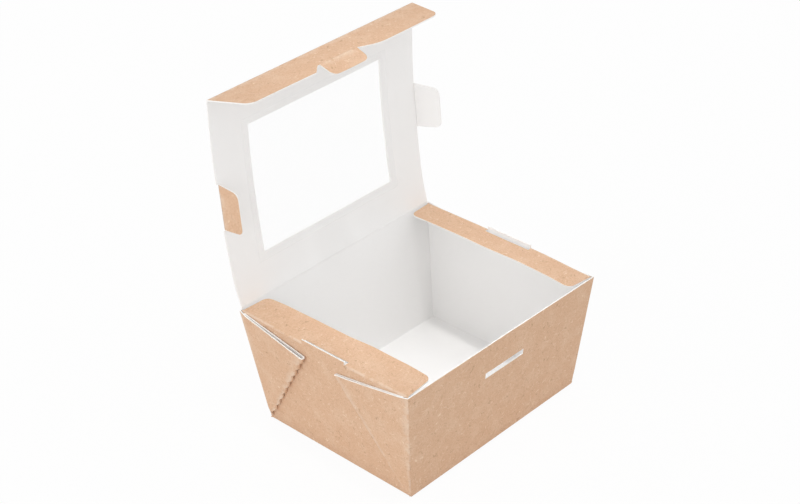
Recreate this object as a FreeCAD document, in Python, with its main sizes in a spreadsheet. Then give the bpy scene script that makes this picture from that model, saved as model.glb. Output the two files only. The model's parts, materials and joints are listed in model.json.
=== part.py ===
import FreeCAD, Part
import Sketcher

import math
import os
import re

# A folded takeaway box of kraft board, drawn in millimetres.
# The origin is the middle of the base, +Z is up, -Y is the front wall with the slot,
# and the lid is hinged on the back wall. White faces look into the box.

doc = FreeCAD.newDocument("TakeawayBox")
sheet = doc.addObject("Spreadsheet::Sheet", "Sizes")

# Driving dimensions, in millimetres and degrees
sizes = {
    # Tray
    "rimWidth": 127.0,
    "rimDepth": 106.0,
    "baseWidth": 113.0,
    "baseDepth": 91.0,
    "boxHeight": 62.0,
    "board": 0.6,
    "sideDrop": 0.7,
    # Doubled corner gussets outside the side walls
    "gussetTipSpan": 20.0,
    "gussetTipDrop": 7.1,
    "gussetSlit": 0.15,
    "gussetHem": 1.2,
    # Slot in the front wall for the lid's tongue
    "slotLength": 26.0,
    "slotHeight": 3.0,
    "slotDrop": 15.9,
    "slotOffset": 1.0,
    # Upright lock pieces on the side walls
    "lockFront": 14.5,
    "lockBack": 12.3,
    "lockHeight": 2.2,
    "lockClearance": 0.35,
    # Dust flaps
    "dustWidth": 15.8,
    "dustEndGap": 0.9,
    "dustTaper": 2.6,
    "dustCornerRadius": 3.0,
    "dustFoldGap": 0.3,
    # Lid and its window
    "lidAngle": 93.3,
    "lidSideInset": 0.9,
    "lidBow": 3.05,
    "lidFoldGap": 0.48,
    "flapStandoff": 0.5,
    "windowSide": 21.5,
    "windowHinge": 20.5,
    "windowFront": 20.4,
    "film": 0.12,
    "filmLap": 4.0,
    # Front flap and its tongue
    "flapAngle": 86.0,
    "flapWidth": 22.3,
    "flapTaper": 5.4,
    "flapCornerRadius": 4.0,
    "creaseGap": 0.15,
    "tongueAngle": 34.0,
    "tongueHinge": 16.7,
    "tongueLength": 8.0,
    "tongueWidth": 23.0,
    "tongueFlare": 1.0,
    "tongueCornerRadius": 3.0,
    "tongueClearance": 0.35,
    "bayFlare": 8.5,
    # Tuck tabs on the lid's side edges
    "leftTabAngle": 89.0,
    "rightTabAngle": 60.0,
    "tabStart": 41.5,
    "tabEnd": 64.5,
    "tabLength": 12.5,
    "tabTaper": 1.2,
    "tabCornerRadius": 3.0,
}

# Sizes worked out from the driving ones
derived = {
    "sideLean": "(rimWidth - baseWidth) / 2 / boxHeight",
    "frontLean": "(rimDepth - baseDepth) / 2 / boxHeight",
    "sideRun": "board * sqrt(1 + sideLean^2)",
    "frontRun": "board * sqrt(1 + frontLean^2)",
    "gussetStack": "2 * (board + gussetSlit)",
    "gussetRun": "gussetStack * sqrt(1 + sideLean^2)",
    "slitFoot": "4 * gussetHem",
    "pleatFoot": "8 * gussetHem",
    "overrun": "6 * board",
    "sideFold": "boxHeight - sideDrop",
    "sideTop": "sideFold - dustFoldGap",
    "notchDepth": "lockHeight + lockClearance",
    "lidLength": "rimDepth - frontRun + flapStandoff",
    "lidWidth": "rimWidth - 2 * lidSideInset",
    "lidRadius": "(lidLength^2 / 4 + lidBow^2) / 2 / lidBow",
    "windowWidth": "rimWidth - 2 * windowSide",
}

for row, (alias, value) in enumerate(sizes.items(), start=1):
    sheet.set(f"A{row}", alias)
    sheet.set(f"B{row}", str(value))
    sheet.setAlias(f"B{row}", alias)
for row, (alias, formula) in enumerate(derived.items(), start=len(sizes) + 1):
    sheet.set(f"A{row}", alias)
    sheet.set(f"B{row}", "=" + formula)
    sheet.setAlias(f"B{row}", alias)
aliases = {*sizes, *derived}
doc.recompute()


def size(alias):
    """The present value of one named size."""
    return float(getattr(sheet, alias))


def inSheet(formula):
    """A formula with each of the sheet's aliases named in full."""
    return re.sub(r"[A-Za-z]+", lambda word: f"Sizes.{word[0]}" if word[0] in aliases else word[0],
                  formula)


def bind(item, **formulas):
    """Tie properties to formulas of the sheet's aliases."""
    for name, formula in formulas.items():
        item.setExpression(name, inSheet(formula))


def evaluate(formula):
    """The present value of a formula of the sheet's aliases."""
    return float(sheet.evalExpression(formula))


# Frames of reference
def move(x, y, z):
    return FreeCAD.Placement(FreeCAD.Vector(x, y, z), FreeCAD.Rotation())


def turn(axis, angle):
    return FreeCAD.Placement(FreeCAD.Vector(), FreeCAD.Rotation(FreeCAD.Vector(*axis), angle))


X, Y, Z = (1, 0, 0), (0, 1, 0), (0, 0, 1)


# Sketches and panels
def bodyPlane(body, role):
    return next(item for item in body.Origin.OriginFeatures if item.Role == role)


def newSketch(body, name, role="XY_Plane"):
    sketch = body.newObject("Sketcher::SketchObject", name)
    sketch.AttachmentSupport = [(bodyPlane(body, role), "")]
    sketch.MapMode = "FlatFace"
    return sketch


def dimension(sketch, kind, geometry, vertex, formula):
    """Set a point's distance from the origin along one axis, either way."""
    value = evaluate(formula)
    ends = (-1, 1, geometry, vertex)
    if value < 0:
        ends = (geometry, vertex, -1, 1)
        formula = f"-({formula})"
    index = sketch.addConstraint(Sketcher.Constraint(kind, *ends, abs(value)))
    sketch.setExpression(f"Constraints[{index}]", inSheet(formula))


def addOutline(sketch, corners):
    """A closed run of straight lines through corners given as pairs of formulas."""
    points = [FreeCAD.Vector(evaluate(x), evaluate(y), 0) for x, y in corners]
    count = len(points)
    first = sketch.GeometryCount
    for number in range(count):
        sketch.addGeometry(Part.LineSegment(points[number], points[(number + 1) % count]))
    for number in range(count):
        after = first + (number + 1) % count
        sketch.addConstraint(Sketcher.Constraint("Coincident", first + number, 2, after, 1))
    for number, (x, y) in enumerate(corners):
        dimension(sketch, "DistanceX", first + number, 1, x)
        dimension(sketch, "DistanceY", first + number, 1, y)


def uprightEdges(solid, corners):
    """Names of the upright edges that stand on the given corners."""
    names = []
    for x, y in corners:
        for number, edge in enumerate(solid.Edges, start=1):
            ends = [vertex.Point for vertex in edge.Vertexes]
            onCorner = all(math.hypot(end.x - x, end.y - y) < 1e-4 for end in ends)
            if len(ends) == 2 and onCorner:
                names.append(f"Edge{number}")
    return names


def flatPanel(label, corners, rounded, radius):
    """A flat panel. Its white face lies on the local plane z = 0, the kraft face is below."""
    body = doc.addObject("PartDesign::Body", label)
    body.Label = label
    sketch = newSketch(body, label + "_outline")
    addOutline(sketch, corners)
    pad = body.newObject("PartDesign::Pad", label + "_pad")
    pad.Profile = sketch
    pad.Reversed = True
    bind(pad, Length="board")
    doc.recompute()
    places = [(evaluate(corners[number][0]), evaluate(corners[number][1])) for number in rounded]
    fillet = body.newObject("PartDesign::Fillet", label + "_corners")
    fillet.Base = (pad, uprightEdges(pad.Shape, places))
    bind(fillet, Radius=radius)
    body.Tip = fillet
    doc.recompute()
    return body


def bowedPanel(label, start, end, width, innerRadius, thickness):
    """A panel bowed about local X. The bow's chord is the local Y axis, from 0 to lidLength."""
    body = doc.addObject("PartDesign::Body", label)
    body.Label = label
    sketch = newSketch(body, label + "_section", "YZ_Plane")
    bind(sketch, **{"AttachmentOffset.Base.z": f"-({width}) / 2"})
    middle = size("lidLength") / 2
    height = size("lidRadius") - size("lidBow")
    radii = (evaluate(innerRadius), evaluate(f"{innerRadius} + {thickness}"))
    reach = (evaluate(start), evaluate(end))
    centre = FreeCAD.Vector(middle, height, 0)
    for radius in radii:
        angles = [-math.pi / 2 + math.asin((place - middle) / radius) for place in reach]
        circle = Part.Circle(centre, FreeCAD.Vector(*Z), radius)
        sketch.addGeometry(Part.ArcOfCircle(circle, *angles))
    for place in (0, 1):
        drops = [math.sqrt(radius ** 2 - (reach[place] - middle) ** 2) for radius in radii]
        ends = [FreeCAD.Vector(reach[place], height - drop, 0) for drop in drops]
        sketch.addGeometry(Part.LineSegment(*ends))
    sketch.addConstraint(Sketcher.Constraint("Coincident", 0, 3, 1, 3))
    for line, vertex in ((2, 1), (3, 2)):
        sketch.addConstraint(Sketcher.Constraint("Coincident", line, 1, 0, vertex))
        sketch.addConstraint(Sketcher.Constraint("Coincident", line, 2, 1, vertex))
        sketch.addConstraint(Sketcher.Constraint("Vertical", line))
    dimension(sketch, "DistanceX", 0, 3, "lidLength / 2")
    dimension(sketch, "DistanceY", 0, 3, "lidRadius - lidBow")
    dimension(sketch, "DistanceX", 0, 1, start)
    dimension(sketch, "DistanceX", 0, 2, end)
    for arc, formula in ((0, innerRadius), (1, f"{innerRadius} + {thickness}")):
        index = sketch.addConstraint(Sketcher.Constraint("Radius", arc, evaluate(formula)))
        sketch.setExpression(f"Constraints[{index}]", inSheet(formula))
    pad = body.newObject("PartDesign::Pad", label + "_pad")
    pad.Profile = sketch
    bind(pad, Length=width)
    body.Tip = pad
    doc.recompute()
    return body


# Tray: one folded sheet
def frustum(name, low, high, halfWidths, halfDepths):
    """A tapered block between two heights, with its half sizes given at each height."""
    block = doc.addObject("Part::Wedge", name)
    bind(block, Ymin=low, Ymax=high,
         Xmin=f"-({halfWidths[0]})", Xmax=halfWidths[0],
         X2min=f"-({halfWidths[1]})", X2max=halfWidths[1],
         Zmin=f"-({halfDepths[0]})", Zmax=halfDepths[0],
         Z2min=f"-({halfDepths[1]})", Z2max=halfDepths[1])
    block.Placement = turn(X, 90)
    return block


def combine(kind, name, base, tool):
    result = doc.addObject(kind, name)
    result.Base = base
    result.Tool = tool
    return result


def fuse(name, items):
    result = doc.addObject("Part::MultiFuse", name)
    result.Shapes = items
    return result


def wallExtrusion(name, corners, inset, thickness):
    """A prism on the left wall's outer face. It starts at inset and is thickness deep."""
    sketch = doc.addObject("Sketcher::SketchObject", name + "_outline")
    addOutline(sketch, corners)
    sketch.Placement = leftWall.multiply(move(0, 0, evaluate(inset)))
    prism = doc.addObject("Part::Extrusion", name)
    prism.Base = sketch
    prism.DirMode = "Normal"
    prism.Solid = True
    bind(prism, LengthFwd=thickness)
    return prism


# Local x of the left wall runs to the front, y up the wall and z outwards
wallLean = math.degrees(math.atan(size("sideLean")))
leftWall = move(-size("baseWidth") / 2, 0, 0).multiply(
    turn(Y, -wallLean).multiply(turn(Z, -90).multiply(turn(X, 90))))
wallSlant = "(boxHeight * sqrt(1 + sideLean^2))"


def gusset(name, front):
    """One doubled corner: a triangle of two layers with a slit behind each."""
    foot = f"{front} * baseDepth / 2"
    corner = f"{front} * rimDepth / 2"
    tip = (f"{front} * gussetTipSpan / 2", f"{wallSlant} - gussetTipDrop")
    spare = f"{front} * overrun"
    above = f"{wallSlant} + overrun"
    inner = f"{front} * gussetTipSpan / 2 - {spare}"
    pleat = f"{front} * (gussetTipSpan / 2 + gussetHem)"
    triangle = [(foot, "0"), (f"{corner} + {spare}", wallSlant), (corner, wallSlant), tip]
    stack = wallExtrusion(name + "_stack", [(foot, "0"), (f"{foot} + {spare}", "0")]
                          + triangle[1:], "0", "gussetStack")
    hemmed = (f"{corner} - {front} * gussetHem", above)
    behind = [(foot, "slitFoot"), hemmed, (inner, above),
              (inner, f"{wallSlant} - gussetTipDrop - overrun")]
    between = [(foot, "pleatFoot"), hemmed, (pleat, above),
               (pleat, f"{wallSlant} - gussetTipDrop")]
    slits = fuse(name + "_slits", [
        wallExtrusion(name + "_behind", behind, "0", "gussetSlit"),
        wallExtrusion(name + "_between", between, "board + gussetSlit", "gussetSlit")])
    return combine("Part::Cut", name, stack, slits)


def makeTray():
    outer = frustum("outer", "0", "boxHeight", ("baseWidth / 2", "rimWidth / 2"),
                    ("baseDepth / 2", "rimDepth / 2"))
    bounds = frustum("gusset_bounds", "0", "boxHeight",
                     ("baseWidth / 2 + gussetRun", "rimWidth / 2 + gussetRun"),
                     ("baseDepth / 2", "rimDepth / 2"))
    pair = fuse("gussets", [gusset("front_gusset", 1), gusset("back_gusset", -1)])
    trimmed = combine("Part::Common", "left_gussets", pair, bounds)
    lock = wallExtrusion("lock_piece", [
        ("-lockBack", f"{wallSlant} - overrun"), ("lockFront", f"{wallSlant} - overrun"),
        ("lockFront", f"{wallSlant} - sideDrop + lockHeight"),
        ("-lockBack", f"{wallSlant} - sideDrop + lockHeight")], "-board", "board")
    over = "(boxHeight + overrun)"
    cavity = frustum("cavity", "board", over,
                     ("baseWidth / 2 + sideLean * board - sideRun",
                      f"baseWidth / 2 + sideLean * {over} - sideRun"),
                     ("baseDepth / 2 + frontLean * board - frontRun",
                      f"baseDepth / 2 + frontLean * {over} - frontRun"))
    sideTops = doc.addObject("Part::Box", "side_tops")
    bind(sideTops, Length="rimWidth + 2 * (gussetRun + overrun)", Width="rimDepth - 2 * frontRun",
         Height="boxHeight",
         **{"Placement.Base.x": "-rimWidth / 2 - gussetRun - overrun",
            "Placement.Base.y": "-rimDepth / 2 + frontRun",
            "Placement.Base.z": "sideTop"})
    slot = doc.addObject("Part::Box", "front_slot")
    bind(slot, Length="slotLength", Width="rimDepth / 2", Height="slotHeight",
         **{"Placement.Base.x": "slotOffset - slotLength / 2",
            "Placement.Base.y": "-rimDepth / 2 - overrun",
            "Placement.Base.z": "boxHeight - slotDrop - slotHeight"})
    mirrored = []
    for item in (trimmed, lock):
        copy = doc.addObject("Part::Mirroring", item.Name + "_right")
        copy.Source = item
        copy.Normal = FreeCAD.Vector(*X)
        mirrored.append(copy)
    walls = fuse("walls", [outer, trimmed, mirrored[0]])
    cut = fuse("hollows", [cavity, sideTops, slot])
    hollow = combine("Part::Cut", "hollow_walls", walls, cut)
    tray = fuse("tray", [hollow, lock, mirrored[1]])
    tray.Label = "tray"
    return tray


# Lid: a bowed panel with a cut-out, and the clear film glued behind it
def makeLid():
    lid = bowedPanel("lid", "lidFoldGap", "lidLength - creaseGap", "lidWidth", "lidRadius", "board")
    sketch = newSketch(lid, "window_outline")
    edge = "windowWidth / 2"
    far = "lidLength - windowFront"
    addOutline(sketch, [(f"-{edge}", "windowHinge"), (edge, "windowHinge"),
                        (edge, far), (f"-{edge}", far)])
    bind(sketch, **{"AttachmentOffset.Base.z": "lidBow"})
    window = lid.newObject("PartDesign::Pocket", "window")
    window.Profile = sketch
    window.Type = "ThroughAll"
    before = lid.Shape.Volume
    lid.Tip = window
    doc.recompute()
    removed = before - lid.Shape.Volume
    least = size("windowWidth") * (evaluate(far) - size("windowHinge")) * size("board")
    if removed < least:
        raise RuntimeError("the window wasn't cut through the lid")
    film = bowedPanel("window_film", "windowHinge - filmLap", f"{far} + filmLap",
                      "windowWidth + 2 * filmLap", "lidRadius - film", "film")
    return lid, film


# Outlines of the flaps and tabs, each from its own fold
def frontFlapCorners():
    fold = "lidWidth / 2 - creaseGap"
    free = "lidWidth / 2 - flapTaper"
    notch = "tongueWidth / 2 + tongueClearance"
    bay = "tongueHinge - creaseGap"
    mouth = f"{notch} + bayFlare"
    right = [(fold, "creaseGap"), (free, "flapWidth"), (mouth, "flapWidth"), (notch, bay)]
    left = [(f"-({x})", y) for x, y in reversed(right)]
    return right + left


def tongueCorners():
    root = "tongueWidth / 2 - tongueFlare"
    wide = "tongueWidth / 2"
    right = [(root, "creaseGap"), (wide, "tongueLength")]
    return right + [(f"-({x})", y) for x, y in reversed(right)]


def tabCorners():
    half = "(tabEnd - tabStart) / 2"
    right = [(half, "creaseGap"), (f"{half} - tabTaper", "tabLength")]
    return right + [(f"-({x})", y) for x, y in reversed(right)]


def dustFlapCorners(side):
    """Local x runs to the back on the left flap and to the front on the right one."""
    fold = "(rimDepth / 2 - frontRun - dustEndGap)"
    front = "lockFront + lockClearance"
    back = "lockBack + lockClearance"
    low, high = (front, back) if side < 0 else (back, front)
    return [(f"-{fold}", "dustFoldGap"), (f"-({low})", "dustFoldGap"), (f"-({low})", "notchDepth"),
            (high, "notchDepth"), (high, "dustFoldGap"), (fold, "dustFoldGap"),
            (f"{fold} - dustTaper", "dustWidth"), (f"-({fold} - dustTaper)", "dustWidth")]


tray = makeTray()
lid, film = makeLid()
flap = flatPanel("front_flap", frontFlapCorners(), (1, 6), "flapCornerRadius")
tongue = flatPanel("front_tongue", tongueCorners(), (1, 2), "tongueCornerRadius")
tabs = {side: flatPanel(label, tabCorners(), (1, 2), "tabCornerRadius")
        for side, label in ((-1, "left_lid_tab"), (1, "right_lid_tab"))}
dustFlaps = {side: flatPanel(label, dustFlapCorners(side), (6, 7), "dustCornerRadius")
             for side, label in ((-1, "left_dust_flap"), (1, "right_dust_flap"))}

# Places: each panel hangs on the fold of the one before it
lidPlace = move(0, size("rimDepth") / 2 - size("frontRun"),
                size("boxHeight") + size("lidFoldGap")).multiply(turn(X, 180 - size("lidAngle")))
flapPlace = lidPlace.multiply(move(0, size("lidLength"), 0)).multiply(turn(X, size("flapAngle")))
tonguePlace = flapPlace.multiply(move(0, size("tongueHinge"), 0)).multiply(
    turn(X, size("tongueAngle")))
lid.Placement = lidPlace
film.Placement = lidPlace
flap.Placement = flapPlace
tongue.Placement = tonguePlace
tabMiddle = (size("tabStart") + size("tabEnd")) / 2
fromCentre = tabMiddle - size("lidLength") / 2
tabSag = math.sqrt(size("lidRadius") ** 2 - fromCentre ** 2) - size("lidRadius") + size("lidBow")
for side, angle in ((-1, size("leftTabAngle")), (1, size("rightTabAngle"))):
    edge = move(side * (size("lidWidth") / 2 + size("creaseGap")), tabMiddle, -tabSag)
    tabs[side].Placement = lidPlace.multiply(edge).multiply(
        turn(Z, -90 * side)).multiply(turn(X, angle))
    fold = move(side * (size("rimWidth") / 2 - size("sideRun")), 0, size("sideFold"))
    dustFlaps[side].Placement = fold.multiply(turn(Z, -90 * side)).multiply(turn(X, 180))
doc.recompute()

parts = [tray, lid, film, flap, tongue, *tabs.values(), *dustFlaps.values()]
for item in doc.Objects:
    if "Invalid" in item.State or "Error" in item.State:
        raise RuntimeError(f"{item.Label} failed: {item.State}")
for item in parts:
    if item.Shape.isNull() or not item.Shape.isValid() or len(item.Shape.Solids) != 1:
        raise RuntimeError(f"{item.Label} isn't one valid solid")

os.makedirs("parts", exist_ok=True)
for item in parts:
    item.Shape.exportStep(f"parts/{item.Label}.step")
    box = item.Shape.BoundBox
    print(f"{item.Label}: {item.Shape.Volume:.1f} mm3, "
          f"x {box.XMin:.2f}..{box.XMax:.2f} y {box.YMin:.2f}..{box.YMax:.2f} "
          f"z {box.ZMin:.2f}..{box.ZMax:.2f}")
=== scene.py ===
import json
import math

import bpy
from mathutils import Matrix, Vector, noise


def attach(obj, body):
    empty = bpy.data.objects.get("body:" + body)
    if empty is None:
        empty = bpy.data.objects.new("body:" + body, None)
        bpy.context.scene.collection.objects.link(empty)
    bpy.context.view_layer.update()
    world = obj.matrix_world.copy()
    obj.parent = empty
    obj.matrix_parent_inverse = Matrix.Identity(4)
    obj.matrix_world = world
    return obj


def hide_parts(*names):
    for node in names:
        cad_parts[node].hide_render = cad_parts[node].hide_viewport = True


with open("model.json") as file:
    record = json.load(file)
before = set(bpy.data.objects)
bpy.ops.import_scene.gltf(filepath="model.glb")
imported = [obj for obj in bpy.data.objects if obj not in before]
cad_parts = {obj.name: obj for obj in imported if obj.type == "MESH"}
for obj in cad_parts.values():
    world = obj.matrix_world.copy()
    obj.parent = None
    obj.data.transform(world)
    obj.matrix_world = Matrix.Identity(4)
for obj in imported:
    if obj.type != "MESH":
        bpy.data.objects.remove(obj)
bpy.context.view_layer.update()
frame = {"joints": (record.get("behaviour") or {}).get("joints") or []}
folds = {joint["name"]: joint for joint in frame["joints"]}
mm = 0.001
print("frame loaded")


# Selecting and shaping, as by hand
def deselectAll():
    if bpy.context.mode != "OBJECT":
        bpy.ops.object.mode_set(mode="OBJECT")
    bpy.ops.object.select_all(action="DESELECT")


def choose(piece):
    deselectAll()
    piece.select_set(True)
    bpy.context.view_layer.objects.active = piece


def pick(piece, kind, test):
    # Select faces by centre and normal, edges by middle and run, or vertices by place and normal
    choose(piece)
    bpy.ops.object.mode_set(mode="EDIT")
    bpy.ops.mesh.select_mode(type=kind)
    bpy.ops.mesh.select_all(action="DESELECT")
    bpy.ops.object.mode_set(mode="OBJECT")
    mesh = piece.data
    if kind == "FACE":
        for face in mesh.polygons:
            face.select = test(face.center, face.normal)
    elif kind == "EDGE":
        for edge in mesh.edges:
            ends = [mesh.vertices[index].co for index in edge.vertices]
            edge.select = test((ends[0] + ends[1]) / 2, ends[1] - ends[0])
    else:
        for vertex in mesh.vertices:
            vertex.select = test(vertex.co, vertex.normal)
    bpy.ops.object.mode_set(mode="EDIT")


def everything(place, facing):
    return True


def cutLine(piece, at, normal, test=everything):
    pick(piece, "FACE", test)
    bpy.ops.mesh.bisect(plane_co=at, plane_no=normal)
    bpy.ops.object.mode_set(mode="OBJECT")


def cutAcross(piece, axis, places, test=everything):
    direction = [0, 0, 0]
    direction[axis] = 1
    for place in places:
        cutLine(piece, [place * share for share in direction], direction, test)


def deleteFaces(piece, test):
    pick(piece, "FACE", test)
    bpy.ops.mesh.delete(type="FACE")
    bpy.ops.object.mode_set(mode="OBJECT")


def roundCorners(piece, corners, radius):
    near = 0.05 * mm
    pick(piece, "VERT", lambda place, normal: any(
        math.hypot(place.x - x, place.y - y) < near for x, y in corners))
    bpy.ops.mesh.bevel(offset=radius, segments=7, affect="VERTICES")
    bpy.ops.object.mode_set(mode="OBJECT")


def steps(low, high, pitch):
    # Even places between two limits, both left out
    count = max(2, round((high - low) / pitch))
    return [low + (high - low) * number / count for number in range(1, count)]


def smooth(share):
    share = min(1, max(0, share))
    return share * share * (3 - 2 * share)


def along(values, share):
    # A smooth run through evenly spaced values
    place = min(1, max(0, share)) * (len(values) - 1)
    first = min(int(place), len(values) - 2)
    return values[first] + (values[first + 1] - values[first]) * smooth(place - first)


def reshape(piece, rule):
    for vertex in piece.data.vertices:
        vertex.co = rule(vertex.co.copy())


def markWearAndHighlight(piece, rule):
    # How far the liner is worn along a crease, from 0 to 1 at each vertex; on the gusset diagonals
    # the same mark also paints a highlight on the fold's edge
    wearAndHighlight = piece.data.attributes.get("wearAndHighlight") or piece.data.attributes.new("wearAndHighlight", "FLOAT", "POINT")
    for vertex, value in zip(piece.data.vertices, wearAndHighlight.data):
        value.value = rule(vertex.co)


def wearFold(piece, reach):
    # Rub the liner along a panel's fold, which lies on its x axis
    markWearAndHighlight(piece, lambda place: board["creaseWearAndHighlight"] if place.y < reach else 0.0)


def applyModifiers(piece):
    choose(piece)
    for modifier in list(piece.modifiers):
        bpy.ops.object.modifier_apply(modifier=modifier.name)


def joinPieces(name, pieces):
    choose(pieces[0])
    for piece in pieces:
        piece.select_set(True)
    bpy.ops.object.join()
    pieces[0].name = name
    pieces[0].data.name = name
    return pieces[0]


# Finishes: kraft outside, white inside and the board's pale core on its cut edges
kraftLook = {
    "colour": (0.680, 0.440, 0.288), "fleck": (0.43, 0.25, 0.145), "pale": (0.84, 0.65, 0.49),
    # The worn colour paints worn creases and, on the gusset diagonals, also a painted highlight of
    # the fold's edge
    "rubbedAndHighlight": (0.84, 0.74, 0.63), "roughness": 0.8,
}
whiteLook = {
    "colour": (0.925, 0.915, 0.905), "fleck": (0.885, 0.875, 0.865), "pale": (0.94, 0.93, 0.92),
    "rubbedAndHighlight": (0.86, 0.85, 0.84), "roughness": 0.5,
}
coreLook = {
    "colour": (0.90, 0.885, 0.86), "fleck": (0.80, 0.75, 0.69), "pale": (0.92, 0.91, 0.90),
    "rubbedAndHighlight": (0.90, 0.885, 0.86), "roughness": 0.85,
}
filmLook = {"colour": (0.97, 0.98, 0.98), "roughness": 0.05, "alpha": 0.035}


def addNode(tree, kind, place, **values):
    node = tree.nodes.new(kind)
    node.location = place
    for name, value in values.items():
        if name in node.inputs:
            node.inputs[name].default_value = value
        else:
            setattr(node, name, value)
    return node


def makeFibreGroup():
    # Recycled paper: a soft mottle, fine speckle, a few curled fibres and worn creases, which on
    # the gusset diagonals also carry a painted highlight
    group = bpy.data.node_groups.new("paperFibres", "ShaderNodeTree")
    for name in ("Base", "Fleck", "Pale", "RubbedAndHighlight"):
        group.interface.new_socket(name=name, in_out="INPUT", socket_type="NodeSocketColor")
    for name in ("Amount", "WearAndHighlight"):
        group.interface.new_socket(name=name, in_out="INPUT", socket_type="NodeSocketFloat")
    group.interface.new_socket(name="Colour", in_out="OUTPUT", socket_type="NodeSocketColor")
    group.interface.new_socket(name="Height", in_out="OUTPUT", socket_type="NodeSocketFloat")
    nodeIn = addNode(group, "NodeGroupInput", (-1400, 0))
    nodeOut = addNode(group, "NodeGroupOutput", (1300, 0))
    coords = addNode(group, "ShaderNodeTexCoord", (-1400, -300))
    link = group.links.new

    def grain(scale, detail, place, **values):
        texture = addNode(group, "ShaderNodeTexNoise", place, Scale=scale, Detail=detail, **values)
        link(coords.outputs["Object"], texture.inputs["Vector"])
        return texture.outputs["Fac"]

    def band(value, low, high, place):
        spread = addNode(group, "ShaderNodeMapRange", place, interpolation_type="SMOOTHSTEP")
        spread.inputs["From Min"].default_value = low
        spread.inputs["From Max"].default_value = high
        link(value, spread.inputs["Value"])
        return spread.outputs["Result"]

    def combine(operation, first, second, place):
        node = addNode(group, "ShaderNodeMath", place, operation=operation)
        for number, value in enumerate((first, second)):
            if isinstance(value, (int, float)):
                node.inputs[number].default_value = value
            else:
                link(value, node.inputs[number])
        return node.outputs[0]

    def blend(first, second, factor, place):
        mix = addNode(group, "ShaderNodeMix", place, data_type="RGBA")
        link(factor, mix.inputs["Factor"])
        link(first, mix.inputs[6])
        link(second, mix.inputs[7])
        return mix.outputs[2]

    def strands(scale, maskScale, place):
        # Thin curved lines where one noise crosses its middle, kept only in small patches
        x, y = place
        offset = combine("SUBTRACT", grain(scale, 1.0, place, Distortion=0.6), 0.5, (x + 200, y))
        line = band(combine("ABSOLUTE", offset, 0.0, (x + 380, y)), 0.022, 0.004, (x + 560, y))
        patch = band(grain(maskScale, 1.0, (x, y - 250)), 0.56, 0.64, (x + 560, y - 250))
        return combine("MULTIPLY", line, patch, (x + 740, y))

    base, fleck, pale, rubbedAndHighlight, amount, wearAndHighlight = (nodeIn.outputs[name] for name in (
        "Base", "Fleck", "Pale", "RubbedAndHighlight", "Amount", "WearAndHighlight"))

    def weaken(value, strength, place):
        return combine("MULTIPLY", combine("MULTIPLY", value, amount, place), strength,
                       (place[0] + 160, place[1]))

    speckle = grain(1250.0, 4.0, (-1100, 500), Roughness=0.75)
    blotch = band(grain(140.0, 4.0, (-1100, 800)), 0.42, 0.70, (-700, 800))
    colour = blend(base, pale, weaken(blotch, 0.20, (-500, 800)), (-100, 400))
    colour = blend(colour, fleck, weaken(band(speckle, 0.50, 0.72, (-700, 500)), 0.46, (-500, 500)),
                   (100, 400))
    colour = blend(colour, pale, weaken(band(speckle, 0.48, 0.30, (-700, 300)), 0.40, (-500, 300)),
                   (300, 400))
    colour = blend(colour, fleck, weaken(strands(240.0, 300.0, (-1100, -600)), 0.6, (-300, -600)),
                   (500, 400))
    colour = blend(colour, pale, weaken(strands(300.0, 360.0, (-1100, -1100)), 0.8, (-300, -1100)),
                   (700, 400))
    # Worn creases lighten the liner; on the gusset diagonals this is also a painted highlight
    wearAndHighlightMask = combine("MULTIPLY", wearAndHighlight, band(grain(260.0, 2.0, (-1100, 1100)), 0.34, 0.56,
                                            (-700, 1100)), (500, 900))
    colour = blend(colour, rubbedAndHighlight, wearAndHighlightMask, (900, 400))
    link(colour, nodeOut.inputs["Colour"])
    link(speckle, nodeOut.inputs["Height"])
    return group


fibreGroup = makeFibreGroup()


def paperMaterial(name, look, amount, bump):
    material = bpy.data.materials.new(name)
    material.use_nodes = True
    tree = material.node_tree
    shader = tree.nodes["Principled BSDF"]
    shader.inputs["Roughness"].default_value = look["roughness"]
    shader.inputs["Specular IOR Level"].default_value = 0.3
    fibres = addNode(tree, "ShaderNodeGroup", (-500, 200), node_tree=fibreGroup)
    for socket, colour in (("Base", "colour"), ("Fleck", "fleck"), ("Pale", "pale"),
                           ("RubbedAndHighlight", "rubbedAndHighlight")):
        fibres.inputs[socket].default_value = (*look[colour], 1)
    fibres.inputs["Amount"].default_value = amount
    wearAndHighlight = addNode(tree, "ShaderNodeAttribute", (-750, 200), attribute_name="wearAndHighlight")
    relief = addNode(tree, "ShaderNodeBump", (-250, -100), Strength=bump, Distance=0.05 * mm)
    tree.links.new(wearAndHighlight.outputs["Fac"], fibres.inputs["WearAndHighlight"])
    tree.links.new(fibres.outputs["Colour"], shader.inputs["Base Color"])
    tree.links.new(fibres.outputs["Height"], relief.inputs["Height"])
    tree.links.new(relief.outputs["Normal"], shader.inputs["Normal"])
    return material


def filmMaterial():
    material = bpy.data.materials.new("clearFilm")
    material.use_nodes = True
    tree = material.node_tree
    shader = tree.nodes["Principled BSDF"]
    shader.inputs["Base Color"].default_value = (*filmLook["colour"], 1)
    shader.inputs["Roughness"].default_value = filmLook["roughness"]
    shader.inputs["Alpha"].default_value = filmLook["alpha"]
    coords = addNode(tree, "ShaderNodeTexCoord", (-800, -100))
    ripple = addNode(tree, "ShaderNodeTexNoise", (-600, -100), Scale=35.0, Detail=1.0)
    relief = addNode(tree, "ShaderNodeBump", (-300, -100), Strength=0.3, Distance=0.4 * mm)
    tree.links.new(coords.outputs["Object"], ripple.inputs["Vector"])
    tree.links.new(ripple.outputs["Fac"], relief.inputs["Height"])
    tree.links.new(relief.outputs["Normal"], shader.inputs["Normal"])
    return material


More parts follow.
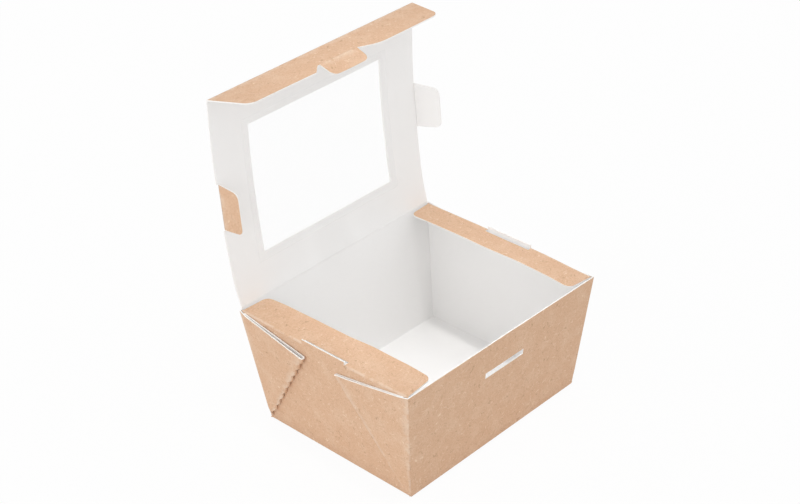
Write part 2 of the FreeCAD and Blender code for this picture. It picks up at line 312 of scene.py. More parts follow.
boardMaterials = [
    paperMaterial("whiteLiner", whiteLook, 0.5, 0.12),
    paperMaterial("kraftLiner", kraftLook, 1.0, 0.3),
    paperMaterial("boardCore", coreLook, 0.8, 0.4),
]
whiteSide, kraftSide, coreSide = range(3)
board = {"thickness": 0.6 * mm, "creaseWearAndHighlight": 0.3, "wornReach": 0.5 * mm}
print("materials made")


def dressBoard(piece, side, even=True):
    # Give a bare sheet its thickness and its three finishes; side is the face that it has now
    piece.data.materials.clear()
    for material in boardMaterials:
        piece.data.materials.append(material)
    for face in piece.data.polygons:
        face.material_index = side
    solid = piece.modifiers.new("thickness", "SOLIDIFY")
    solid.thickness = board["thickness"]
    solid.offset = -1
    solid.use_even_offset = even
    solid.material_offset = (kraftSide if side == whiteSide else whiteSide) - side
    solid.material_offset_rim = coreSide - side
    applyModifiers(piece)


def finishPiece(piece, body, nodes):
    choose(piece)
    bpy.ops.object.shade_smooth_by_angle(angle=math.radians(32))
    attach(piece, body)
    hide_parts(*nodes)
    return piece


def stand(piece, origin, x, y):
    # Stand a piece drawn round its own origin at its real place, with its own x and y axes
    x = Vector(x).normalized()
    y = Vector(y).normalized()
    turn = Matrix((x, y, x.cross(y))).transposed().to_4x4()
    piece.data.transform(Matrix.Translation(origin) @ turn)


def flatPanel(name, halfWidth, start, end, farHalfWidth, radius):
    # A panel with its fold on the x axis, tapered and rounded at its free end
    deselectAll()
    bpy.ops.mesh.primitive_plane_add(size=1, location=(0, (start + end) / 2, 0))
    piece = bpy.context.object
    piece.name = name
    piece.scale = (2 * halfWidth, end - start, 1)
    bpy.ops.object.transform_apply(location=True, rotation=True, scale=True)
    pick(piece, "VERT", lambda place, normal: place.y > (start + end) / 2)
    bpy.ops.transform.resize(value=(farHalfWidth / halfWidth, 1, 1), center_override=(0, end, 0))
    bpy.ops.object.mode_set(mode="OBJECT")
    if radius:
        roundCorners(piece, [(-farHalfWidth, end), (farHalfWidth, end)], radius)
    return piece


def foldBead(name, length, origin, startWay, sweepWay, sweep=180):
    # The rounded outside of a crease: a slice of a round bar about the fold line.
    # It starts at startWay and turns through sweepWay.
    deselectAll()
    bpy.ops.mesh.primitive_cylinder_add(vertices=48, radius=board["thickness"], depth=length,
                                        rotation=(0, math.pi / 2, 0))
    bead = bpy.context.object
    bead.name = name
    bpy.ops.object.transform_apply(location=True, rotation=True, scale=True)
    bead.data.transform(Matrix.Rotation(math.radians(2.3), 4, "X"))  # no vertex on a cut
    for material in boardMaterials:
        bead.data.materials.append(material)
    cuts = [(0, 0, -1)]
    if sweep < 180:
        stop = math.radians(sweep)
        cuts.append((0, -math.sin(stop), math.cos(stop)))
    for normal in cuts:
        pick(bead, "FACE", everything)
        bpy.ops.mesh.bisect(plane_co=(0, 0, 0), plane_no=normal, clear_outer=True, use_fill=True)
        bpy.ops.object.mode_set(mode="OBJECT")
    cutAcross(bead, 0, steps(-length / 2, length / 2, 6 * mm))
    for face in bead.data.polygons:
        onArc = math.hypot(face.center.y, face.center.z) > 0.9 * board["thickness"]
        face.material_index = kraftSide if onArc else whiteSide
        if abs(face.normal.x) > 0.9:
            face.material_index = coreSide
    markWearAndHighlight(bead, lambda place: board["creaseWearAndHighlight"])
    start, toward = Vector(startWay).normalized(), Vector(sweepWay).normalized()
    stand(bead, origin, start.cross(toward), start)
    return bead


# Camera first: the photograph's viewpoint
camera = {
    "place": (-511.38 * mm, -499.08 * mm, 530.08 * mm),
    "turn": -45.08, "height": 31.947, "roll": -2.637, "lens": 83.14,
}


def makeCamera():
    turn, height, roll = (math.radians(camera[name]) for name in ("turn", "height", "roll"))
    back = Vector((math.sin(turn) * math.cos(height), -math.cos(turn) * math.cos(height),
                   math.sin(height)))
    right = (-back).cross(Vector((0, 0, 1))).normalized()
    up = right.cross(-back)
    axes = (math.cos(roll) * right + math.sin(roll) * up,
            -math.sin(roll) * right + math.cos(roll) * up, back)
    data = bpy.data.cameras.new("photoCamera")
    data.lens = camera["lens"]
    data.sensor_width = 36
    view = bpy.data.objects.new("photoCamera", data)
    bpy.context.scene.collection.objects.link(view)
    view.matrix_world = Matrix.Translation(camera["place"]) @ Matrix(axes).transposed().to_4x4()
    bpy.context.scene.camera = view


makeCamera()


# Tray: tapered shell, gussets and lock pieces
tray = {
    "baseWidth": 113 * mm, "baseDepth": 91 * mm,
    "rimWidth": 127 * mm, "rimDepth": 106 * mm, "height": 62 * mm,
    "sideTop": 61.25 * mm, "baseFold": 0.7 * mm, "bulge": 0.2 * mm,
    "slot": {"left": -11.8 * mm, "right": 14.4 * mm, "low": 43.1 * mm, "high": 46.1 * mm},
    "lock": {"front": -14.5 * mm, "back": 12.3 * mm, "height": 2.3 * mm, "lean": 0.35 * mm},
    "pullFront": 0.9 * mm, "pullBack": 0.3 * mm, "sink": 0.5 * mm,
    "straight": 16 * mm, "drawIn": 37 * mm,
    "wave": 0.25 * mm, "wavePitch": 28, "sideGive": 0.5, "hingeInset": 0.9 * mm,
}
gussetLook = {
    "columns": 26, "rows": 90, "arcEnd": 5, "outerEnd": 14, "foldEnd": 20,
    "cornerRadius": 0.62 * mm, "innerStart": 3.2 * mm, "tipDrop": 7.1 * mm, "tooth": 6.4 * mm,
    "pressed": 7 * mm, "footRise": 1.1 * mm, "skin": 0.05 * mm,
    "swell": 0.12, "foldStart": 0.06, "foldRamp": 0.08, "meanBite": 0.7,
    # The band along the diagonal is partly a worn, perforated fold crest and partly a painted
    # highlight
    "diagonalWearAndHighlight": 0.9 * mm, "wornCorner": 0.7 * mm,
    "backLeft": {"tipY": 11.5 * mm, "corner": 0.75 * mm, "slit": 0.15 * mm, "lift": 1.5 * mm,
                 "under": 0.35 * mm, "bite": 1.0 * mm},
    "frontLeft": {"tipY": 9.4 * mm, "corner": 0.8 * mm, "slit": 0.1 * mm, "lift": 0.5 * mm,
                  "under": 0.15 * mm, "bite": 0.12 * mm},
    "right": {"tipY": 10 * mm, "corner": 0.8 * mm, "slit": 0.1 * mm, "lift": 0.5 * mm,
              "under": 0.3 * mm, "bite": 0.5 * mm},
}
sideRun = (tray["rimWidth"] - tray["baseWidth"]) / 2
sideSlant = math.hypot(tray["height"], sideRun)


def settled(place):
    # The real rim isn't quite square: its side walls draw in towards the front
    height = min(1, max(0, place.z / tray["height"]))
    front = smooth((-place.y - tray["straight"]) / tray["drawIn"])
    back = smooth((place.y - tray["straight"]) / tray["drawIn"])
    share = place.x / (tray["rimWidth"] / 2)
    place.x -= (tray["pullFront"] * front + tray["pullBack"] * back) * height * share
    place.z -= tray["sink"] * front * max(0, share) * height ** 2
    place.z = max(0, place.z)
    return place


def makeShell():
    deselectAll()
    height = tray["height"]
    bpy.ops.mesh.primitive_cube_add(size=1, location=(0, 0, height / 2))
    shell = bpy.context.object
    shell.scale = (tray["baseWidth"], tray["baseDepth"], height)
    bpy.ops.object.transform_apply(location=True, rotation=True, scale=True)
    pick(shell, "VERT", lambda place, normal: place.z > height / 2)
    bpy.ops.transform.resize(
        value=(tray["rimWidth"] / tray["baseWidth"], tray["rimDepth"] / tray["baseDepth"], 1),
        center_override=(0, 0, height))
    deleteFaces(shell, lambda centre, facing: facing.z > 0.9)
    pick(shell, "EDGE", lambda centre, run: centre.z < 0.1 * mm)
    bpy.ops.mesh.bevel(offset=tray["baseFold"], segments=4, affect="EDGES")
    bpy.ops.object.mode_set(mode="OBJECT")

    def side(centre, facing):
        return abs(facing.x) > 0.9

    def front(centre, facing):
        return facing.y < -0.9

    lock, slot = tray["lock"], tray["slot"]
    cutAcross(shell, 2, [tray["sideTop"]], side)
    deleteFaces(shell, lambda centre, facing: side(centre, facing) and centre.z > tray["sideTop"])
    cutAcross(shell, 1, [lock["front"], lock["back"]], side)
    middle = (lock["front"] + lock["back"]) / 2
    for way in (-1, 1):
        pick(shell, "EDGE", lambda centre, run: centre.x * way > 0.05
             and abs(centre.z - tray["sideTop"]) < 0.01 * mm and abs(centre.y - middle) < 1 * mm)
        rise = lock["height"]
        bpy.ops.mesh.extrude_edges_move(TRANSFORM_OT_translate={
            "value": (way * (sideRun / height * rise - lock["lean"]), 0, rise)})
        bpy.ops.object.mode_set(mode="OBJECT")
    cutAcross(shell, 2, [slot["low"], slot["high"]], front)
    cutAcross(shell, 0, [slot["left"], slot["right"]], front)
    deleteFaces(shell, lambda centre, facing: front(centre, facing)
                and slot["low"] < centre.z < slot["high"]
                and slot["left"] < centre.x < slot["right"])
    halfWidth, halfDepth = tray["baseWidth"] / 2, tray["baseDepth"] / 2
    margin, pitch = 2 * mm, 8 * mm
    cutAcross(shell, 2, steps(margin, height - margin, pitch))
    cutAcross(shell, 0, steps(margin - halfWidth, halfWidth - margin, pitch))
    cutAcross(shell, 1, steps(margin - halfDepth, halfDepth - margin, pitch))

    def flexed(place):
        share = min(1, max(0, place.z / height))
        reachX = halfWidth + sideRun * share
        reachY = halfDepth + (tray["rimDepth"] / 2 - halfDepth) * share
        if place.z < 1 * mm:
            return place
        wave = noise.noise(place * tray["wavePitch"]) * tray["wave"]
        onSide = abs(abs(place.x) - reachX) < 0.3 * mm
        run = place.y / reachY if onSide else place.x / reachX
        arch = max(0, 1 - run ** 2)
        push = (tray["bulge"] * math.sin(math.pi * share) + wave) * arch
        if onSide:
            place.x += math.copysign(push * tray["sideGive"], place.x)
        else:
            place.y += math.copysign(push, place.y)
        return place

    reshape(shell, flexed)
    dressBoard(shell, kraftSide)
    markWearAndHighlight(shell, lambda place: 0.0)
    return shell


def wallPoint(way, y, up, out):
    # A place on a side wall: up its slope and out from its outer face
    sine, cosine = sideRun / sideSlant, tray["height"] / sideSlant
    return Vector((way * (tray["baseWidth"] / 2 + up * sine + out * cosine), y,
                   up * cosine - out * sine))


def makeGusset(way, end):
    # A doubled corner, one sheet: the end wall's card turned round the corner, laid on the side
    # wall, folded back at the diagonal and tucked in behind itself
    look = gussetLook["right"]
    if way < 0:
        look = gussetLook["backLeft" if end > 0 else "frontLeft"]
    slit, radius = look["slit"], gussetLook["cornerRadius"]
    stack = 2 * (board["thickness"] + slit)
    foot = Vector((end * tray["baseDepth"] / 2, gussetLook["footRise"]))
    corner = Vector((end * tray["rimDepth"] / 2, sideSlant))
    tip = Vector((end * look["tipY"], sideSlant - gussetLook["tipDrop"]))
    toTip = (tip - corner).normalized()
    width, length = (tip - corner).length, (tip - foot).length
    columns, rows, arcEnd, outerEnd, foldEnd = (gussetLook[name] for name in (
        "columns", "rows", "arcEnd", "outerEnd", "foldEnd"))
    deselectAll()
    bpy.ops.mesh.primitive_grid_add(x_subdivisions=columns, y_subdivisions=rows, size=2)
    sheet = bpy.context.object

    def sprung(run, share):
        # How far towards the free fold, from 0 to 1
        return min(1, run / max(width * share, 1 * mm))

    def outerDepth(run, share):
        full = look["corner"] + (stack - look["corner"]) * smooth(run / gussetLook["innerStart"])
        return (full * smooth(share / gussetLook["swell"]) + gussetLook["skin"]
                + look["lift"] * sprung(run, share) * share ** 1.5)

    def innerDepth(run, share):
        return slit + look["under"] * sprung(run, share) * share

    def shaped(place):
        column = round((place.x + 1) / 2 * columns)
        share = (place.y + 1) / 2
        reach = width * share
        folded = smooth((share - gussetLook["foldStart"]) / gussetLook["foldRamp"])
        beat = abs(math.sin(math.pi * share * length / gussetLook["tooth"]))
        bite = look["bite"] * (beat - gussetLook["meanBite"])
        bite *= smooth(share / 0.1) * smooth((1 - share) / 0.03)
        if column <= arcEnd:
            depth = outerDepth(0, share)
            bend = min(radius, 0.8 * depth)
            angle = math.pi / 2 * max(0, column - 1) / (arcEnd - 1)
            run = bend * (1 - math.cos(angle)) if column else 0
            depth = depth - bend + bend * math.sin(angle) if column else 0
        elif column <= outerEnd:
            run = radius + (reach - radius) * (column - arcEnd) / (outerEnd - arcEnd)
            run = max(run, radius * min(1, share / 0.1))
            depth = outerDepth(run, share)
        elif column <= foldEnd:
            angle = math.pi * (column - outerEnd) / (foldEnd - outerEnd)
            outer = outerDepth(reach, share)
            inner = outer + (innerDepth(reach, share) - outer) * folded
            run = reach + (outer - inner) / 2 * math.sin(angle)
            depth = (outer + inner) / 2 + (outer - inner) / 2 * math.cos(angle)
        else:
            back = (reach - min(reach, gussetLook["innerStart"])) * folded
            run = reach - back * (column - foldEnd) / (columns - foldEnd)
            outer = outerDepth(reach, share)
            depth = outer + (innerDepth(run, share) - outer) * folded
        if outerEnd - 1 <= column <= foldEnd + 1:
            run += bite
        flat = foot.lerp(corner, share) + toTip * run
        return wallPoint(way, flat.x, flat.y, depth)

    reshape(sheet, shaped)
    base = wallPoint(way, 0, 0, 0)
    outward = (wallPoint(way, 0, 0, 1) - base).normalized()

    def depthOf(place):
        return (place - base).dot(outward)

    pick(sheet, "VERT", everything)
    bpy.ops.mesh.remove_doubles(threshold=0.02 * mm)
    bpy.ops.object.mode_set(mode="OBJECT")
    facing = sum(face.normal.dot(outward) * face.area for face in sheet.data.polygons
                 if depthOf(face.center) > 1.2 * mm)
    if facing < 0:
        pick(sheet, "FACE", everything)
        bpy.ops.mesh.flip_normals()
        bpy.ops.object.mode_set(mode="OBJECT")
    dressBoard(sheet, kraftSide, even=False)
    for face in sheet.data.polygons:
        # Pressed together at the foot, the layers show only kraft
        if face.center.z < gussetLook["pressed"]:
            face.material_index = kraftSide

    # The corner band is worn kraft; the diagonal band is partly a worn, perforated crest and partly
    # a painted highlight of the fold's edge
    def rubbedAndHighlight(place):
        up = place.z / tray["height"]
        wallY = (tray["baseDepth"] + (tray["rimDepth"] - tray["baseDepth"]) * up) / 2
        fromCorner = wallY - abs(place.y)
        diagonalY = abs(foot.x) + (abs(tip.x) - abs(foot.x)) * up / (tip.y / sideSlant)
        onDiagonalWearAndHighlight = abs(abs(place.y) - diagonalY) < gussetLook["diagonalWearAndHighlight"]
        onCorner = gussetLook["skin"] < fromCorner < gussetLook["wornCorner"]
        return board["creaseWearAndHighlight"] if onCorner or onDiagonalWearAndHighlight else 0.0

    markWearAndHighlight(sheet, rubbedAndHighlight)
    return sheet


def makeTray():
    pieces = [makeShell()]
    for way in (-1, 1):
        for end in (-1, 1):
            pieces.append(makeGusset(way, end))
    lock = tray["lock"]
    sideLean = round(sideRun / tray["height"], 3)
    backLean = round((tray["rimDepth"] - tray["baseDepth"]) / 2 / tray["height"], 2)
    for way, name in ((-1, "left"), (1, "right")):
        joint = folds[name + "_dust_flap_fold"]
        for low, high in ((-dust["foldHalf"], lock["front"]), (lock["back"], dust["foldHalf"])):
            place = Vector(joint["pos_m"]) + Vector((0, (low + high) / 2, 0))
            pieces.append(foldBead(name + "Crease", high - low, place, (way, 0, -sideLean),
                                   (way * sideLean, 0, 1), dust["creaseSweep"]))
    for piece in pieces:
        reshape(piece, settled)
    hingeAt = folds["lid_fold"]["pos_m"]
    hinge = foldBead("lidCrease", tray["rimWidth"] - 2 * tray["hingeInset"], hingeAt,
                     (0, 0, -1), (0, 1, -backLean))
    for face in hinge.data.polygons:
        # The crease's top faces take the white liner
        if face.center.z > hingeAt[2] + board["thickness"] / 2:
            face.material_index = whiteSide
    pieces.append(hinge)
    finishPiece(joinPieces("trayBoard", pieces), "tray", ["tray"])


# Dust flaps, turned in over the tray and curling up a little at their free edges.
# Widths and rises run from the front end to the back end.
dust = {
    "half": 51.7 * mm, "foldHalf": 52.2 * mm, "width": 15.8 * mm, "taper": 1.1 * mm,
    "radius": 3.4 * mm, "notchDepth": 2.2 * mm, "start": 0.02 * mm, "notchClear": 0.2 * mm,
    "creaseSweep": 118, "wornReach": 0.3 * mm,
    "left": {"widths": (16.3, 16.8, 16.6, 15.6, 15.7, 15.5, 14.6),
             "rises": (0.55, 1.0, 1.5, 1.3, 0.9, 0.6, 0.3)},
    "right": {"widths": (14.4, 14.3, 14.8, 15.6, 15.0, 14.3, 13.8),
              "rises": (0.55, 1.1, 1.6, 1.9, 1.6, 1.0, 0.4)},
}


def makeDustFlap(name, way):
    look = dust[name]
    piece = flatPanel(name + "DustBoard", dust["half"], dust["start"], dust["width"],
                      dust["half"] - dust["taper"], dust["radius"])
    # The panel's x axis runs to the back on the left flap and to the front on the right one
    lock, clear = tray["lock"], dust["notchClear"]
    ends = [-way * (lock["front"] - clear), -way * (lock["back"] + clear)]
    cutAcross(piece, 0, ends)
    cutAcross(piece, 1, [0.7 * mm, dust["notchDepth"]])
    deleteFaces(piece, lambda centre, facing: min(ends) < centre.x < max(ends)
                and centre.y < dust["notchDepth"])
    cutAcross(piece, 0, steps(-dust["half"], dust["half"], 5 * mm))
    cutAcross(piece, 1, steps(dust["notchDepth"], dust["width"], 3 * mm))

    def curled(place):
        share = (1 - way * place.x / dust["half"]) / 2
        reach = max(0, place.y / dust["width"])
        place.y += (along(look["widths"], share) * mm - dust["width"]) * reach
        place.z -= reach ** 1.3 * along(look["rises"], share) * mm
        return place

    reshape(piece, curled)
    dressBoard(piece, whiteSide)
    wearFold(piece, dust["wornReach"])
    joint = folds[name + "_dust_flap_fold"]
    stand(piece, Vector(joint["pos_m"]), joint["axis"], (-way, 0, 0))
    reshape(piece, settled)
    finishPiece(piece, name + "_dust_flap", [name + "_dust_flap"])


makeTray()
for sideName, sideWay in (("left", -1), ("right", 1)):
    makeDustFlap(sideName, sideWay)
print("tray made")


# Lid: bowed panel with a window and its clear film
lid = {
    "halfWidth": 62.6 * mm, "widening": 1.9 * mm, "drift": -0.8 * mm, "start": 0.48 * mm,
    "bow": 3.05 * mm, "wave": 0.4 * mm, "wavePitch": 22, "crease": 0.15 * mm,
    "relief": 0.35 * mm, "reliefClear": 0.15 * mm, "driftRun": 15 * mm,
    "window": {"middle": -1.3 * mm, "half": 41.9 * mm, "hinge": 20.5 * mm, "front": 20.4 * mm},
    "filmLap": 4 * mm, "filmThickness": 0.05 * mm, "filmWave": 0.3 * mm, "filmLift": 0.25 * mm,
}
tab = {
    "half": 11.5 * mm, "taper": 1.2 * mm, "length": 12.5 * mm, "radius": 3 * mm, "curl": -0.1 * mm,
    "left": {"angle": 89, "slide": -0.9 * mm, "skew": 0.0},
    "right": {"angle": 60, "slide": -0.3 * mm, "skew": 1.6 * mm},
}
lidOrigin = Vector(folds["lid_fold"]["pos_m"])
flapOrigin = Vector(folds["front_flap_fold"]["pos_m"])
tongueOrigin = Vector(folds["front_tongue_fold"]["pos_m"])
lidLength = (flapOrigin - lidOrigin).length
lidUp = (flapOrigin - lidOrigin).normalized()
lidInward = Vector((1, 0, 0)).cross(lidUp)
tabMiddle = (Vector(folds["left_tab_fold"]["pos_m"]) - lidOrigin).dot(lidUp)


def lidEdge(y):
    # Half the lid's width, which grows a little towards the front flap
    return lid["halfWidth"] + lid["widening"] * y / lidLength


def bowed(place):
    # The lid's bow, away from its white face
    share = place.y / lidLength
    place.z -= 4 * lid["bow"] * share * (1 - share)
    return place


def makeLid():
    piece = flatPanel("lidBoard", lid["halfWidth"], lid["start"], lidLength - lid["crease"],
                      lid["halfWidth"], 0)
    window = lid["window"]
    left, right = window["middle"] - window["half"], window["middle"] + window["half"]
    low, high = window["hinge"], lidLength - window["front"]
    cutAcross(piece, 0, [left, right])
    cutAcross(piece, 1, [low, high])
    deleteFaces(piece, lambda centre, facing: left < centre.x < right and low < centre.y < high)
    relief, halfRelief = lid["relief"], tab["half"] + lid["reliefClear"]
    reliefs = {way: [tabMiddle + tab[name]["slide"] + edge * halfRelief for edge in (-1, 1)]
               for name, way in (("left", -1), ("right", 1))}
    for lower, upper in reliefs.values():
        cutAcross(piece, 1, [lower - relief, lower, upper, upper + relief])
    cutAcross(piece, 1, steps(0, lidLength, 5 * mm))
    cutAcross(piece, 0, steps(-lid["halfWidth"], lid["halfWidth"], 10 * mm))

    def flexed(place):
        share = place.y / lidLength
        pitch = lid["wavePitch"]
        wave = noise.noise(Vector((place.x * pitch, place.y * pitch, 3.1))) * lid["wave"]
        place.z += wave * 4 * share * (1 - share)
        if abs(place.x) > lid["halfWidth"] - 0.05 * mm:
            lower, upper = reliefs[-1 if place.x < 0 else 1]
            if not lower - relief / 2 < place.y < upper + relief / 2:
                place.x = math.copysign(lidEdge(place.y), place.x)
                place.x += lid["drift"] * smooth(place.y / lid["driftRun"])
        return bowed(place)

    reshape(piece, flexed)
    dressBoard(piece, whiteSide)
    worn = lidLength - board["wornReach"]
    markWearAndHighlight(piece, lambda place: board["creaseWearAndHighlight"] if place.y > worn else 0.0)
    stand(piece, lidOrigin, (1, 0, 0), lidUp)
    drift = Vector((lid["drift"], 0, 0))
    beads = [foldBead("flapCrease", 2 * lidEdge(lidLength) - 0.5 * mm, flapOrigin + drift,
                      -lidUp, -lidInward)]
    for name in ("left", "right"):
        joint = folds[name + "_tab_fold"]
        way = -1 if name == "left" else 1
        place = Vector(joint["pos_m"]) + lidUp * tab[name]["slide"]
        beads.append(foldBead(name + "TabCrease", 2 * tab["half"] - 0.4 * mm, place,
                              (-way, 0, 0), -lidInward))
    finishPiece(joinPieces("lidBoard", [piece, *beads]), "lid", ["lid"])


def makeFilm():
    window, lap = lid["window"], lid["filmLap"]
    half = window["half"] + lap
    low, high = window["hinge"] - lap, lidLength - window["front"] + lap
    film = flatPanel("windowFilm", half, low, high, half, 0)
    cutAcross(film, 1, steps(low, high, 4 * mm))
    cutAcross(film, 0, steps(-half, half, 10 * mm))

    def laid(place):
        inside = (max(0, 1 - (place.x / half) ** 2)
                  * max(0, 1 - (2 * (place.y - low) / (high - low) - 1) ** 2))
        wave = noise.noise(Vector((place.x * 40, place.y * 40, 7.7))) * lid["filmWave"]
        place.z += wave * inside + lid["filmLift"]
        place.x += window["middle"]
        return bowed(place)

    reshape(film, laid)
    solid = film.modifiers.new("thickness", "SOLIDIFY")
    solid.thickness = lid["filmThickness"]
    solid.offset = 1
    applyModifiers(film)
    film.data.materials.append(filmMaterial())
    stand(film, lidOrigin, (1, 0, 0), lidUp)
    finishPiece(film, "lid", ["window_film"])


# Front flap with its bay, the tongue in it and the two tuck tabs
flap = {
    "far": 58.8 * mm, "width": 22.3 * mm, "radius": 4 * mm,
    "wave": 0.3 * mm, "waveTurn": 2.4, "waveStart": 0.6,
    "bay": {"left": -13.8 * mm, "leftFlare": 6.2 * mm, "right": 10.3 * mm,
            "rightFlare": 9.5 * mm, "radius": 4 * mm},
}
tongue = {
    "angle": 34, "middle": -1.0 * mm, "half": 11.2 * mm, "rootHalf": 11.5 * mm,
    "rootShift": -0.8 * mm,
    "length": 8 * mm, "radius": 3 * mm, "cup": 0.5 * mm,
}
flapOutward = (tongueOrigin - flapOrigin).normalized()
flapInward = Vector((1, 0, 0)).cross(flapOutward)


def makeFlap():
    start = lid["crease"]
    near = lidEdge(lidLength) - 0.15 * mm
    piece = flatPanel("frontFlapBoard", near, start, flap["width"], flap["far"], flap["radius"])
    bay = flap["bay"]
    root = (tongueOrigin - flapOrigin).length - 0.15 * mm
    rise = flap["width"] - root
    for edge, flare in ((bay["left"], -bay["leftFlare"]), (bay["right"], bay["rightFlare"])):
        cutLine(piece, (edge, root, 0), (rise, -flare, 0))
    cutAcross(piece, 1, [root])

    def inBay(centre, facing):
        share = (centre.y - root) / rise
        return share > 0 and (bay["left"] - bay["leftFlare"] * share < centre.x
                              < bay["right"] + bay["rightFlare"] * share)

    deleteFaces(piece, inBay)
    roundCorners(piece, [(bay["right"] + bay["rightFlare"], flap["width"])], bay["radius"])
    cutAcross(piece, 0, steps(-near, near, 6 * mm))
    cutAcross(piece, 1, steps(start, flap["width"], 4 * mm))

    def flexed(place):
        share = place.y / flap["width"]
        turn = place.x / near * flap["waveTurn"] + flap["waveStart"]
        place.z += flap["wave"] * share * math.sin(turn)
        return place

    reshape(piece, flexed)
    dressBoard(piece, whiteSide)
    wearFold(piece, board["wornReach"])
    stand(piece, flapOrigin + Vector((lid["drift"], 0, 0)), (1, 0, 0), flapOutward)
    bead = foldBead("tongueCrease", 2 * tongue["rootHalf"],
                    tongueOrigin + Vector((tongue["middle"] + tongue["rootShift"], 0, 0)),
                    -flapOutward, -flapInward)
    finishPiece(joinPieces("frontFlapBoard", [piece, bead]), "front_flap", ["front_flap"])


def makeTongue():
    piece = flatPanel("tongueBoard", tongue["rootHalf"], lid["crease"], tongue["length"],
                      tongue["half"], tongue["radius"])
    cutAcross(piece, 0, steps(-tongue["half"], tongue["half"], 3 * mm))
    cutAcross(piece, 1, steps(lid["crease"], tongue["length"], 2.5 * mm))

    def cupped(place):
        share = place.y / tongue["length"]
        place.z -= tongue["cup"] * share * (place.x / tongue["half"]) ** 2
        place.x += tongue["rootShift"] * (1 - share)
        return place

    reshape(piece, cupped)
    dressBoard(piece, whiteSide)
    wearFold(piece, board["wornReach"])
    outward = flapOutward.copy()
    outward.rotate(Matrix.Rotation(math.radians(tongue["angle"]), 3, "X"))
    stand(piece, tongueOrigin + Vector((tongue["middle"], 0, 0)), (1, 0, 0), outward)
    finishPiece(piece, "front_tongue", ["front_tongue"])


def makeTab(name, way):
    look = tab[name]
    piece = flatPanel(name + "TabBoard", tab["half"], lid["crease"], tab["length"],
                      tab["half"] - tab["taper"], tab["radius"])
    cutAcross(piece, 0, steps(-tab["half"], tab["half"], 4 * mm))
    cutAcross(piece, 1, steps(lid["crease"], tab["length"], 3 * mm))

    def curled(place):
        share = place.y / tab["length"]
        place.z -= tab["curl"] * share ** 2
        place.x += look["skew"] * share
        return place

    reshape(piece, curled)
    dressBoard(piece, whiteSide)
    wearFold(piece, board["wornReach"])
    joint = folds[name + "_tab_fold"]
    angle = math.radians(look["angle"])
    outward = math.cos(angle) * Vector((way, 0, 0)) + math.sin(angle) * lidInward
    stand(piece, Vector(joint["pos_m"]) + lidUp * look["slide"], joint["axis"], outward)
    finishPiece(piece, name + "_lid_tab", [name + "_lid_tab"])


makeLid()
makeFilm()
makeFlap()
makeTongue()
for sideName, sideWay in (("left", -1), ("right", 1)):
    makeTab(sideName, sideWay)
print("lid and flaps made")


# Plain white studio
studio = {
    "horizon": 0.885, "zenith": 1.0, "floor": 0.82, "floorGlow": 0.94,
    "key": 2.6, "keyPlace": (-1.1, -0.05, 0.35), "fill": 0.12, "fillPlace": (0.1, -0.9, 0.7),
    "lampSize": 0.9, "lampAim": (0, 0, 0.06),
    "inside": 24.0, "insidePlace": (0, -0.16, 1.25), "insideAim": (0, 0, 0.04),
    "insideSpread": 8.4, "insideSize": 0.06,
}


def whiteToCamera(tree):
    # 1 where the camera, a reflection or the view through film looks at the background
    path = addNode(tree, "ShaderNodeLightPath", (-600, 400))
    seen = path.outputs["Is Camera Ray"]
    for number, name in enumerate(("Is Glossy Ray", "Is Transmission Ray")):
        either = addNode(tree, "ShaderNodeMath", (200 * number - 400, 400), operation="MAXIMUM")
        tree.links.new(seen, either.inputs[0])
        tree.links.new(path.outputs[name], either.inputs[1])
        seen = either.outputs[0]
    return seen


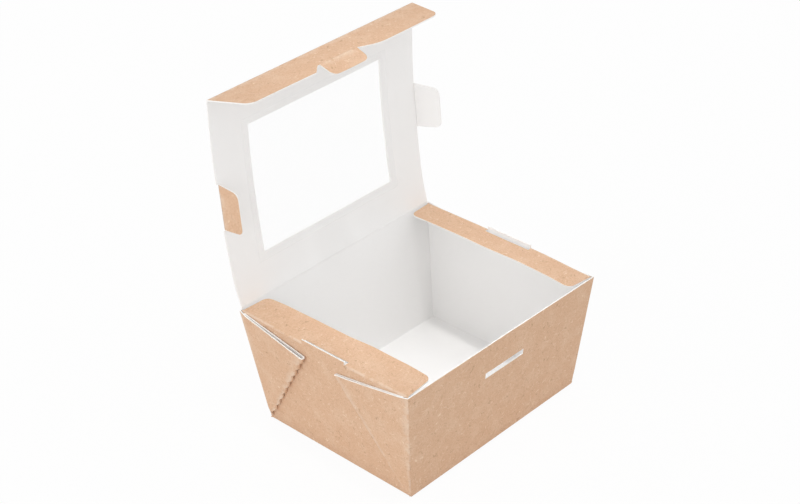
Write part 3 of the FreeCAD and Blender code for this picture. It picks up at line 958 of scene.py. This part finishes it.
def makeWorld():
    world = bpy.data.worlds.new("studio")
    bpy.context.scene.world = world
    world.use_nodes = True
    tree = world.node_tree
    plain = tree.nodes["Background"]
    plain.inputs["Color"].default_value = (1, 1, 1, 1)
    coords = addNode(tree, "ShaderNodeTexCoord", (-1000, -200))
    parts = addNode(tree, "ShaderNodeSeparateXYZ", (-800, -200))
    overhead = addNode(tree, "ShaderNodeMapRange", (-600, -200))
    overhead.inputs["To Min"].default_value = studio["horizon"]
    overhead.inputs["To Max"].default_value = studio["zenith"]
    tree.links.new(coords.outputs["Generated"], parts.inputs["Vector"])
    tree.links.new(parts.outputs["Z"], overhead.inputs["Value"])
    tree.links.new(overhead.outputs["Result"], plain.inputs["Strength"])
    bright = addNode(tree, "ShaderNodeBackground", (0, -200), Color=(1, 1, 1, 1), Strength=1.0)
    mix = addNode(tree, "ShaderNodeMixShader", (250, 100))
    tree.links.new(whiteToCamera(tree), mix.inputs["Fac"])
    tree.links.new(plain.outputs[0], mix.inputs[1])
    tree.links.new(bright.outputs[0], mix.inputs[2])
    tree.links.new(mix.outputs[0], tree.nodes["World Output"].inputs["Surface"])


def makeFloor():
    deselectAll()
    bpy.ops.mesh.primitive_plane_add(size=6, location=(0, 0, -0.2 * mm))
    floor = bpy.context.object
    floor.name = "floor"
    material = bpy.data.materials.new("paleFloor")
    material.use_nodes = True
    tree = material.node_tree
    shader = tree.nodes["Principled BSDF"]
    shader.inputs["Base Color"].default_value = (*[studio["floor"]] * 3, 1)
    shader.inputs["Roughness"].default_value = 0.9
    glow = addNode(tree, "ShaderNodeEmission", (0, -300), Color=(1, 1, 1, 1), Strength=1.0)
    share = addNode(tree, "ShaderNodeMath", (100, 400), operation="MULTIPLY")
    share.inputs[1].default_value = studio["floorGlow"]
    mix = addNode(tree, "ShaderNodeMixShader", (300, 100))
    tree.links.new(whiteToCamera(tree), share.inputs[0])
    tree.links.new(share.outputs[0], mix.inputs["Fac"])
    tree.links.new(shader.outputs[0], mix.inputs[1])
    tree.links.new(glow.outputs[0], mix.inputs[2])
    tree.links.new(mix.outputs[0], tree.nodes["Material Output"].inputs["Surface"])
    floor.data.materials.append(material)


def makeLight(name, kind, place, aim, **values):
    data = bpy.data.lights.new(name, kind)
    for setting, value in values.items():
        setattr(data, setting, value)
    light = bpy.data.objects.new(name, data)
    bpy.context.scene.collection.objects.link(light)
    light.location = place
    toward = Vector(aim) - Vector(place)
    light.rotation_euler = toward.to_track_quat("-Z", "Y").to_euler()


makeWorld()
makeFloor()
# A soft narrow lamp reaches down into the tray, and two broad ones light it from outside
makeLight("insideLight", "SPOT", studio["insidePlace"], studio["insideAim"],
          energy=studio["inside"], spot_size=math.radians(studio["insideSpread"]),
          spot_blend=1.0, shadow_soft_size=studio["insideSize"])
for lamp in ("key", "fill"):
    makeLight(lamp + "Light", "AREA", studio[lamp + "Place"], studio["lampAim"],
              size=studio["lampSize"], energy=studio[lamp])
bpy.context.scene.view_settings.view_transform = "Standard"
print("studio made")
